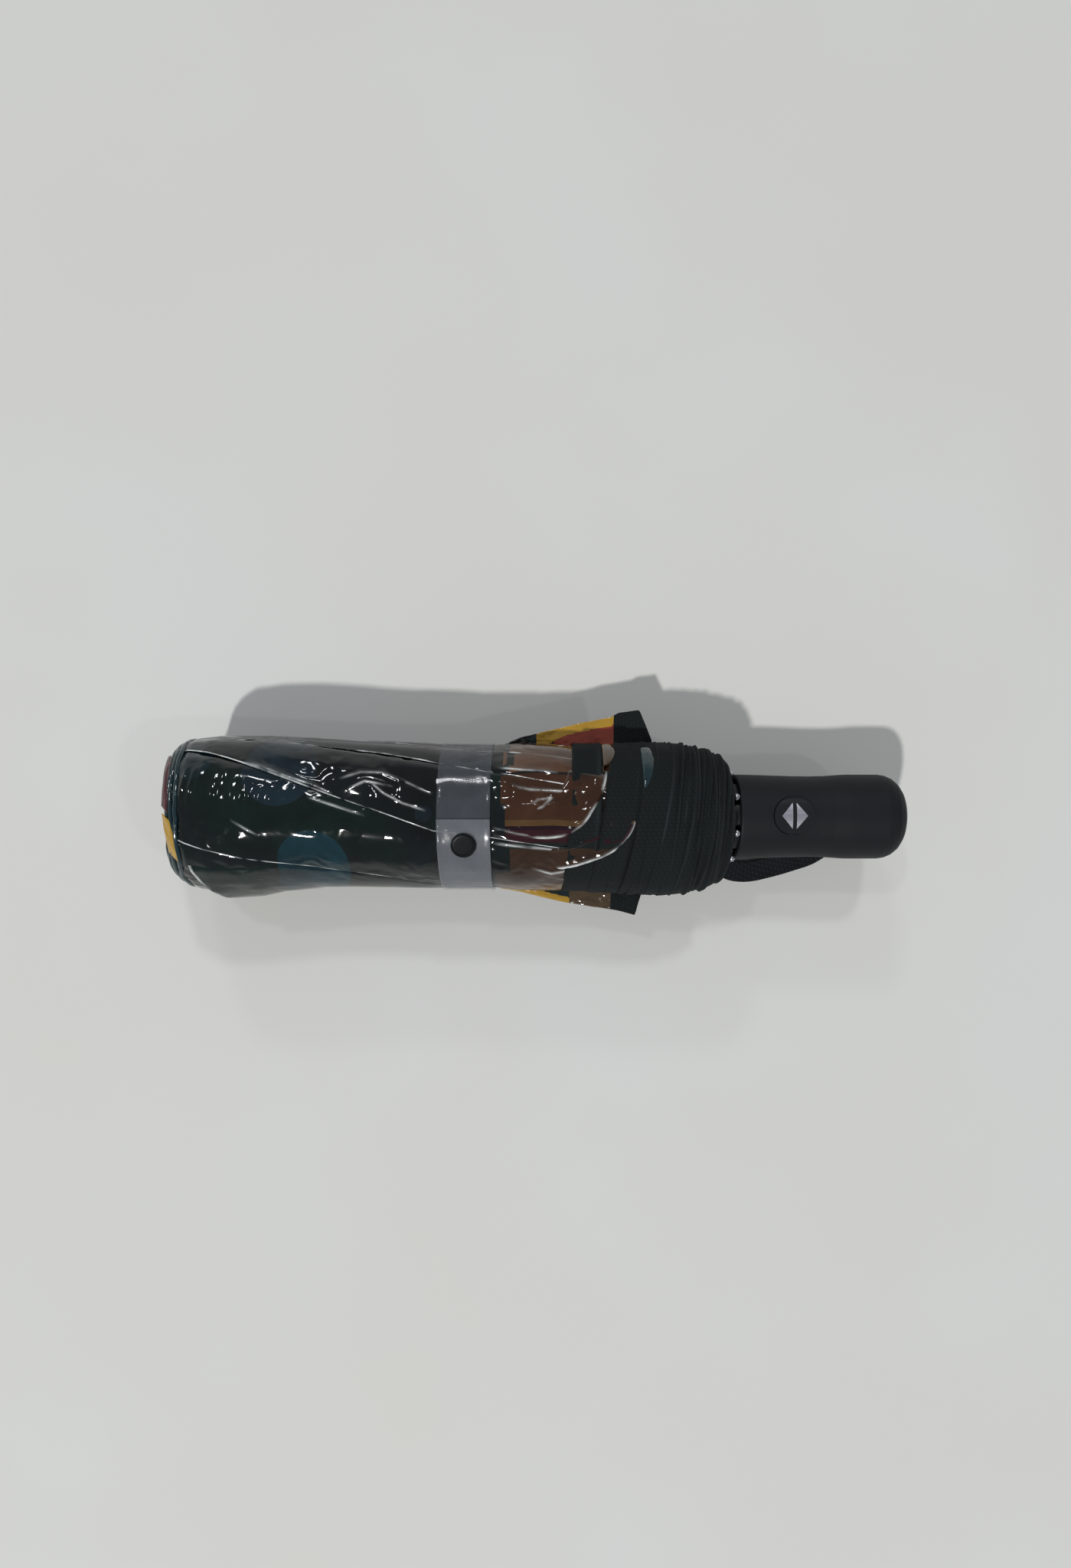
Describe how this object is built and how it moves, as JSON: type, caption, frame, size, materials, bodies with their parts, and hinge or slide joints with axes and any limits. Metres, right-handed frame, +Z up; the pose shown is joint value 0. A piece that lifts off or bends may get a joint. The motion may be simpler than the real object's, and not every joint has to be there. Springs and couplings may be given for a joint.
{
  "type": "folding umbrella",
  "caption": "Compact folding umbrella, closed: film canopy rolled round a folding rib frame and telescopic shaft, held by a snap strap, with push-button grip and wrist tape.",
  "frame": {"origin": "centre of the whole object's plan, at its lowest point", "axes": "+X along the shaft towards the handle's end, +Z up"},
  "size_m": [0.29, 0.08, 0.0593],
  "materials": {
    "canopy_film": "glossy",
    "hem_binding": "woven",
    "clear_strap": "slightly frosted, clear",
    "black_plastic": "satin",
    "soft_grip": "soft-touch",
    "button_gloss": "polished",
    "painted_tube": "satin",
    "plated_tube": "plated",
    "plated_steel": "plated",
    "wrist_tape": "flat woven tape"
  },
  "bodies": {
    "handle": {"handle_grip": "soft_grip", "handle_core": "black_plastic", "lower_tube": "plated_tube", "wrist_strap": "wrist_tape", "button_spring": "plated_steel"},
    "button": {"button": "button_gloss"},
    "middle_shaft": {"middle_tube": "plated_tube"},
    "canopy_head": {"upper_tube": "painted_tube", "crown": "black_plastic", "top_cap": "black_plastic", "canopy_wrap": "canopy_film", "canopy_hem": "hem_binding", "hem_corner_left": "hem_binding", "hem_corner_right": "hem_binding"},
    "runner": {"runner": "black_plastic"},
    "inner_rib_1": {"inner_rib_1": "plated_steel"},
    "stretcher_1": {"stretcher_1": "plated_steel"},
    "middle_rib_1": {"middle_rib_1": "plated_steel"},
    "outer_rib_1": {"outer_rib_1": "plated_steel", "strap": "clear_strap", "snap_socket": "black_plastic"},
    "inner_rib_2": {"inner_rib_2": "plated_steel"},
    "stretcher_2": {"stretcher_2": "plated_steel"},
    "middle_rib_2": {"middle_rib_2": "plated_steel"},
    "outer_rib_2": {"outer_rib_2": "plated_steel"},
    "inner_rib_3": {"inner_rib_3": "plated_steel"},
    "stretcher_3": {"stretcher_3": "plated_steel"},
    "middle_rib_3": {"middle_rib_3": "plated_steel"},
    "outer_rib_3": {"outer_rib_3": "plated_steel"},
    "inner_rib_4": {"inner_rib_4": "plated_steel"},
    "stretcher_4": {"stretcher_4": "plated_steel"},
    "middle_rib_4": {"middle_rib_4": "plated_steel"},
    "outer_rib_4": {"outer_rib_4": "plated_steel"},
    "inner_rib_5": {"inner_rib_5": "plated_steel"},
    "stretcher_5": {"stretcher_5": "plated_steel"},
    "middle_rib_5": {"middle_rib_5": "plated_steel"},
    "outer_rib_5": {"outer_rib_5": "plated_steel"},
    "inner_rib_6": {"inner_rib_6": "plated_steel"},
    "stretcher_6": {"stretcher_6": "plated_steel"},
    "middle_rib_6": {"middle_rib_6": "plated_steel"},
    "outer_rib_6": {"outer_rib_6": "plated_steel"},
    "inner_rib_7": {"inner_rib_7": "plated_steel"},
    "stretcher_7": {"stretcher_7": "plated_steel"},
    "middle_rib_7": {"middle_rib_7": "plated_steel"},
    "outer_rib_7": {"outer_rib_7": "plated_steel"},
    "inner_rib_8": {"inner_rib_8": "plated_steel"},
    "stretcher_8": {"stretcher_8": "plated_steel"},
    "middle_rib_8": {"middle_rib_8": "plated_steel"},
    "outer_rib_8": {"outer_rib_8": "plated_steel"},
    "strap_tab": {"strap_tab": "clear_strap", "snap_cap": "black_plastic"},
    "film_inner_1": {"film_inner_1": "canopy_film"},
    "film_inner_4": {"film_inner_4": "canopy_film"},
    "film_inner_7": {"film_inner_7": "canopy_film"},
    "film_middle_1": {"film_middle_1": "canopy_film"},
    "film_middle_4": {"film_middle_4": "canopy_film"},
    "film_middle_7": {"film_middle_7": "canopy_film"},
    "film_outer_1": {"film_outer_1": "canopy_film"},
    "film_outer_4": {"film_outer_4": "canopy_film"},
    "film_outer_7": {"film_outer_7": "canopy_film"}
  },
  "joints": [
    {"name": "shaft_slide", "type": "slide", "parent": "handle", "child": "middle_shaft", "axis": [-1, 0, 0], "range_m": [0, 0.15]},
    {"name": "head_slide", "type": "slide", "parent": "middle_shaft", "child": "canopy_head", "axis": [-1, 0, 0], "range_m": [0, 0.15]},
    {"name": "runner_slide", "type": "slide", "parent": "canopy_head", "child": "runner", "axis": [-1, 0, 0], "range_m": [0, 0.1394], "deforming": ["canopy_wrap", "canopy_hem", "hem_corner_left", "hem_corner_right", "strap"]},
    {"name": "button_press", "type": "slide", "parent": "handle", "child": "button", "axis": [0, 0, -1], "range_m": [0, 0.0025], "stiffness_N_per_m": 600, "springref_m": -0.002, "deforming": ["button_spring"]},
    {"name": "inner_rib_hinge_1", "type": "hinge", "parent": "canopy_head", "child": "inner_rib_1", "pos_m": [-0.124, -0.00366, 0.0377], "axis": [0, -0.9304, -0.3665], "range_deg": [0, 78.01]},
    {"name": "stretcher_hinge_1", "type": "hinge", "parent": "inner_rib_1", "child": "stretcher_1", "pos_m": [-0.036, -0.00366, 0.0377], "axis": [0, 0.9304, 0.3665], "range_deg": [0, 156.01]},
    {"name": "middle_rib_hinge_1", "type": "hinge", "parent": "inner_rib_1", "child": "middle_rib_1", "pos_m": [0.058, -0.00451, 0.03984], "axis": [0, 0.9304, 0.3665], "range_deg": [0, 190.01]},
    {"name": "outer_rib_hinge_1", "type": "hinge", "parent": "middle_rib_1", "child": "outer_rib_1", "pos_m": [-0.118, -0.00601, 0.04366], "axis": [0, -0.9304, -0.3665], "range_deg": [0, 167.01]},
    {"name": "inner_rib_hinge_2", "type": "hinge", "parent": "canopy_head", "child": "inner_rib_2", "pos_m": [-0.124, -0.00917, 0.03239], "axis": [0, -0.3987, -0.9171], "range_deg": [0, 78.01]},
    {"name": "stretcher_hinge_2", "type": "hinge", "parent": "inner_rib_2", "child": "stretcher_2", "pos_m": [-0.036, -0.00917, 0.03239], "axis": [0, 0.3987, 0.9171], "range_deg": [0, 156.01]},
    {"name": "middle_rib_hinge_2", "type": "hinge", "parent": "inner_rib_2", "child": "middle_rib_2", "pos_m": [0.058, -0.01128, 0.03331], "axis": [0, 0.3987, 0.9171], "range_deg": [0, 190.01]},
    {"name": "outer_rib_hinge_2", "type": "hinge", "parent": "middle_rib_2", "child": "outer_rib_2", "pos_m": [-0.118, -0.01504, 0.03494], "axis": [0, -0.3987, -0.9171], "range_deg": [0, 167.01]},
    {"name": "inner_rib_hinge_3", "type": "hinge", "parent": "canopy_head", "child": "inner_rib_3", "pos_m": [-0.124, -0.0093, 0.02474], "axis": [0, 0.3665, -0.9304], "range_deg": [0, 78.01]},
    {"name": "stretcher_hinge_3", "type": "hinge", "parent": "inner_rib_3", "child": "stretcher_3", "pos_m": [-0.036, -0.0093, 0.02474], "axis": [0, -0.3665, 0.9304], "range_deg": [0, 156.01]},
    {"name": "middle_rib_hinge_3", "type": "hinge", "parent": "inner_rib_3", "child": "middle_rib_3", "pos_m": [0.058, -0.01144, 0.02389], "axis": [0, -0.3665, 0.9304], "range_deg": [0, 190.01]},
    {"name": "outer_rib_hinge_3", "type": "hinge", "parent": "middle_rib_3", "child": "outer_rib_3", "pos_m": [-0.118, -0.01526, 0.02239], "axis": [0, 0.3665, -0.9304], "range_deg": [0, 167.01]},
    {"name": "inner_rib_hinge_4", "type": "hinge", "parent": "canopy_head", "child": "inner_rib_4", "pos_m": [-0.124, -0.00399, 0.01923], "axis": [0, 0.9171, -0.3987], "range_deg": [0, 78.01]},
    {"name": "stretcher_hinge_4", "type": "hinge", "parent": "inner_rib_4", "child": "stretcher_4", "pos_m": [-0.036, -0.00399, 0.01923], "axis": [0, -0.9171, 0.3987], "range_deg": [0, 156.01]},
    {"name": "middle_rib_hinge_4", "type": "hinge", "parent": "inner_rib_4", "child": "middle_rib_4", "pos_m": [0.058, -0.0049, 0.01712], "axis": [0, -0.9171, 0.3987], "range_deg": [0, 190.01]},
    {"name": "outer_rib_hinge_4", "type": "hinge", "parent": "middle_rib_4", "child": "outer_rib_4", "pos_m": [-0.118, -0.00654, 0.01336], "axis": [0, 0.9171, -0.3987], "range_deg": [0, 167.01]},
    {"name": "inner_rib_hinge_5", "type": "hinge", "parent": "canopy_head", "child": "inner_rib_5", "pos_m": [-0.124, 0.00366, 0.0191], "axis": [0, 0.9304, 0.3665], "range_deg": [0, 78.01]},
    {"name": "stretcher_hinge_5", "type": "hinge", "parent": "inner_rib_5", "child": "stretcher_5", "pos_m": [-0.036, 0.00366, 0.0191], "axis": [0, -0.9304, -0.3665], "range_deg": [0, 156.01]},
    {"name": "middle_rib_hinge_5", "type": "hinge", "parent": "inner_rib_5", "child": "middle_rib_5", "pos_m": [0.058, 0.00451, 0.01696], "axis": [0, -0.9304, -0.3665], "range_deg": [0, 190.01]},
    {"name": "outer_rib_hinge_5", "type": "hinge", "parent": "middle_rib_5", "child": "outer_rib_5", "pos_m": [-0.118, 0.00601, 0.01314], "axis": [0, 0.9304, 0.3665], "range_deg": [0, 167.01]},
    {"name": "inner_rib_hinge_6", "type": "hinge", "parent": "canopy_head", "child": "inner_rib_6", "pos_m": [-0.124, 0.00917, 0.02441], "axis": [0, 0.3987, 0.9171], "range_deg": [0, 78.01]},
    {"name": "stretcher_hinge_6", "type": "hinge", "parent": "inner_rib_6", "child": "stretcher_6", "pos_m": [-0.036, 0.00917, 0.02441], "axis": [0, -0.3987, -0.9171], "range_deg": [0, 156.01]},
    {"name": "middle_rib_hinge_6", "type": "hinge", "parent": "inner_rib_6", "child": "middle_rib_6", "pos_m": [0.058, 0.01128, 0.02349], "axis": [0, -0.3987, -0.9171], "range_deg": [0, 190.01]},
    {"name": "outer_rib_hinge_6", "type": "hinge", "parent": "middle_rib_6", "child": "outer_rib_6", "pos_m": [-0.118, 0.01504, 0.02186], "axis": [0, 0.3987, 0.9171], "range_deg": [0, 167.01]},
    {"name": "inner_rib_hinge_7", "type": "hinge", "parent": "canopy_head", "child": "inner_rib_7", "pos_m": [-0.124, 0.0093, 0.03207], "axis": [0, -0.3665, 0.9304], "range_deg": [0, 78.01]},
    {"name": "stretcher_hinge_7", "type": "hinge", "parent": "inner_rib_7", "child": "stretcher_7", "pos_m": [-0.036, 0.0093, 0.03207], "axis": [0, 0.3665, -0.9304], "range_deg": [0, 156.01]},
    {"name": "middle_rib_hinge_7", "type": "hinge", "parent": "inner_rib_7", "child": "middle_rib_7", "pos_m": [0.058, 0.01144, 0.03291], "axis": [0, 0.3665, -0.9304], "range_deg": [0, 190.01]},
    {"name": "outer_rib_hinge_7", "type": "hinge", "parent": "middle_rib_7", "child": "outer_rib_7", "pos_m": [-0.118, 0.01526, 0.03441], "axis": [0, -0.3665, 0.9304], "range_deg": [0, 167.01]},
    {"name": "inner_rib_hinge_8", "type": "hinge", "parent": "canopy_head", "child": "inner_rib_8", "pos_m": [-0.124, 0.00399, 0.03757], "axis": [0, -0.9171, 0.3987], "range_deg": [0, 78.01]},
    {"name": "stretcher_hinge_8", "type": "hinge", "parent": "inner_rib_8", "child": "stretcher_8", "pos_m": [-0.036, 0.00399, 0.03757], "axis": [0, 0.9171, -0.3987], "range_deg": [0, 156.01]},
    {"name": "middle_rib_hinge_8", "type": "hinge", "parent": "inner_rib_8", "child": "middle_rib_8", "pos_m": [0.058, 0.0049, 0.03968], "axis": [0, 0.9171, -0.3987], "range_deg": [0, 190.01]},
    {"name": "outer_rib_hinge_8", "type": "hinge", "parent": "middle_rib_8", "child": "outer_rib_8", "pos_m": [-0.118, 0.00654, 0.04344], "axis": [0, -0.9171, 0.3987], "range_deg": [0, 167.01]},
    {"name": "strap_tab_hinge", "type": "hinge", "parent": "outer_rib_1", "child": "strap_tab", "pos_m": [-0.024, -0.02701, 0.04014], "axis": [1, 0, 0], "range_deg": [0, 100]},
    {"name": "film_inner_fan_1", "type": "hinge", "parent": "inner_rib_1", "child": "film_inner_1", "pos_m": [-0.13378, -0.0029, 0.03577], "axis": [0.2079, 0.3585, -0.9101], "range_deg": [0, 135.01], "deforming": ["film_inner_1"]},
    {"name": "film_inner_fan_4", "type": "hinge", "parent": "inner_rib_4", "child": "film_inner_4", "pos_m": [-0.13378, -0.00316, 0.02114], "axis": [0.2079, 0.39, 0.897], "range_deg": [0, 135.01], "deforming": ["film_inner_4"]},
    {"name": "film_inner_fan_7", "type": "hinge", "parent": "inner_rib_7", "child": "film_inner_7", "pos_m": [-0.13378, 0.00737, 0.0313], "axis": [0.2079, -0.9101, -0.3585], "range_deg": [0, 90.01], "deforming": ["film_inner_7"]},
    {"name": "film_middle_fan_1", "type": "hinge", "parent": "middle_rib_1", "child": "film_middle_1", "pos_m": [0.24611, -0.01829, 0.07484], "axis": [-0.3746, -0.3398, 0.8627], "range_deg": [0, 135.01], "deforming": ["film_middle_1"]},
    {"name": "film_middle_fan_4", "type": "hinge", "parent": "middle_rib_4", "child": "film_middle_4", "pos_m": [0.24611, -0.0199, -0.01738], "axis": [-0.3746, -0.3697, -0.8503], "range_deg": [0, 135.01], "deforming": ["film_middle_4"]},
    {"name": "film_middle_fan_7", "type": "hinge", "parent": "middle_rib_7", "child": "film_middle_7", "pos_m": [0.24611, 0.04644, 0.04669], "axis": [-0.3746, 0.8627, 0.3398], "range_deg": [0, 90.01], "deforming": ["film_middle_7"]},
    {"name": "film_outer_fan_1", "type": "hinge", "parent": "outer_rib_1", "child": "film_outer_1", "pos_m": [-0.46524, 0.03598, -0.06293], "axis": [0.5736, 0.3002, -0.7622], "range_deg": [0, 135.01], "deforming": ["film_outer_1"]},
    {"name": "film_outer_fan_4", "type": "hinge", "parent": "outer_rib_4", "child": "film_outer_4", "pos_m": [-0.46524, 0.03914, 0.11842], "axis": [0.5736, 0.3266, 0.7512], "range_deg": [0, 135.01], "deforming": ["film_outer_4"]},
    {"name": "film_outer_fan_7", "type": "hinge", "parent": "outer_rib_7", "child": "film_outer_7", "pos_m": [-0.46524, -0.09133, -0.00758], "axis": [0.5736, -0.7622, -0.3002], "range_deg": [0, 90.01], "deforming": ["film_outer_7"]}
  ],
  "couplings": [
    {"joint": "head_slide", "follows": "shaft_slide", "ratio": 1},
    {"joint": "inner_rib_hinge_1", "follows": "runner_slide", "rad_per_m": 9.7658},
    {"joint": "stretcher_hinge_1", "follows": "runner_slide", "rad_per_m": 19.532},
    {"joint": "middle_rib_hinge_1", "follows": "runner_slide", "rad_per_m": 23.789},
    {"joint": "outer_rib_hinge_1", "follows": "runner_slide", "rad_per_m": 20.909},
    {"joint": "inner_rib_hinge_2", "follows": "runner_slide", "rad_per_m": 9.7658},
    {"joint": "stretcher_hinge_2", "follows": "runner_slide", "rad_per_m": 19.532},
    {"joint": "middle_rib_hinge_2", "follows": "runner_slide", "rad_per_m": 23.789},
    {"joint": "outer_rib_hinge_2", "follows": "runner_slide", "rad_per_m": 20.909},
    {"joint": "inner_rib_hinge_3", "follows": "runner_slide", "rad_per_m": 9.7658},
    {"joint": "stretcher_hinge_3", "follows": "runner_slide", "rad_per_m": 19.532},
    {"joint": "middle_rib_hinge_3", "follows": "runner_slide", "rad_per_m": 23.789},
    {"joint": "outer_rib_hinge_3", "follows": "runner_slide", "rad_per_m": 20.909},
    {"joint": "inner_rib_hinge_4", "follows": "runner_slide", "rad_per_m": 9.7658},
    {"joint": "stretcher_hinge_4", "follows": "runner_slide", "rad_per_m": 19.532},
    {"joint": "middle_rib_hinge_4", "follows": "runner_slide", "rad_per_m": 23.789},
    {"joint": "outer_rib_hinge_4", "follows": "runner_slide", "rad_per_m": 20.909},
    {"joint": "inner_rib_hinge_5", "follows": "runner_slide", "rad_per_m": 9.7658},
    {"joint": "stretcher_hinge_5", "follows": "runner_slide", "rad_per_m": 19.532},
    {"joint": "middle_rib_hinge_5", "follows": "runner_slide", "rad_per_m": 23.789},
    {"joint": "outer_rib_hinge_5", "follows": "runner_slide", "rad_per_m": 20.909},
    {"joint": "inner_rib_hinge_6", "follows": "runner_slide", "rad_per_m": 9.7658},
    {"joint": "stretcher_hinge_6", "follows": "runner_slide", "rad_per_m": 19.532},
    {"joint": "middle_rib_hinge_6", "follows": "runner_slide", "rad_per_m": 23.789},
    {"joint": "outer_rib_hinge_6", "follows": "runner_slide", "rad_per_m": 20.909},
    {"joint": "inner_rib_hinge_7", "follows": "runner_slide", "rad_per_m": 9.7658},
    {"joint": "stretcher_hinge_7", "follows": "runner_slide", "rad_per_m": 19.532},
    {"joint": "middle_rib_hinge_7", "follows": "runner_slide", "rad_per_m": 23.789},
    {"joint": "outer_rib_hinge_7", "follows": "runner_slide", "rad_per_m": 20.909},
    {"joint": "inner_rib_hinge_8", "follows": "runner_slide", "rad_per_m": 9.7658},
    {"joint": "stretcher_hinge_8", "follows": "runner_slide", "rad_per_m": 19.532},
    {"joint": "middle_rib_hinge_8", "follows": "runner_slide", "rad_per_m": 23.789},
    {"joint": "outer_rib_hinge_8", "follows": "runner_slide", "rad_per_m": 20.909},
    {"joint": "film_inner_fan_1", "follows": "runner_slide", "rad_per_m": 16.902},
    {"joint": "film_inner_fan_4", "follows": "runner_slide", "rad_per_m": 16.902},
    {"joint": "film_inner_fan_7", "follows": "runner_slide", "rad_per_m": 11.268},
    {"joint": "film_middle_fan_1", "follows": "runner_slide", "rad_per_m": 16.902},
    {"joint": "film_middle_fan_4", "follows": "runner_slide", "rad_per_m": 16.902},
    {"joint": "film_middle_fan_7", "follows": "runner_slide", "rad_per_m": 11.268},
    {"joint": "film_outer_fan_1", "follows": "runner_slide", "rad_per_m": 16.902},
    {"joint": "film_outer_fan_4", "follows": "runner_slide", "rad_per_m": 16.902},
    {"joint": "film_outer_fan_7", "follows": "runner_slide", "rad_per_m": 11.268}
  ]
}
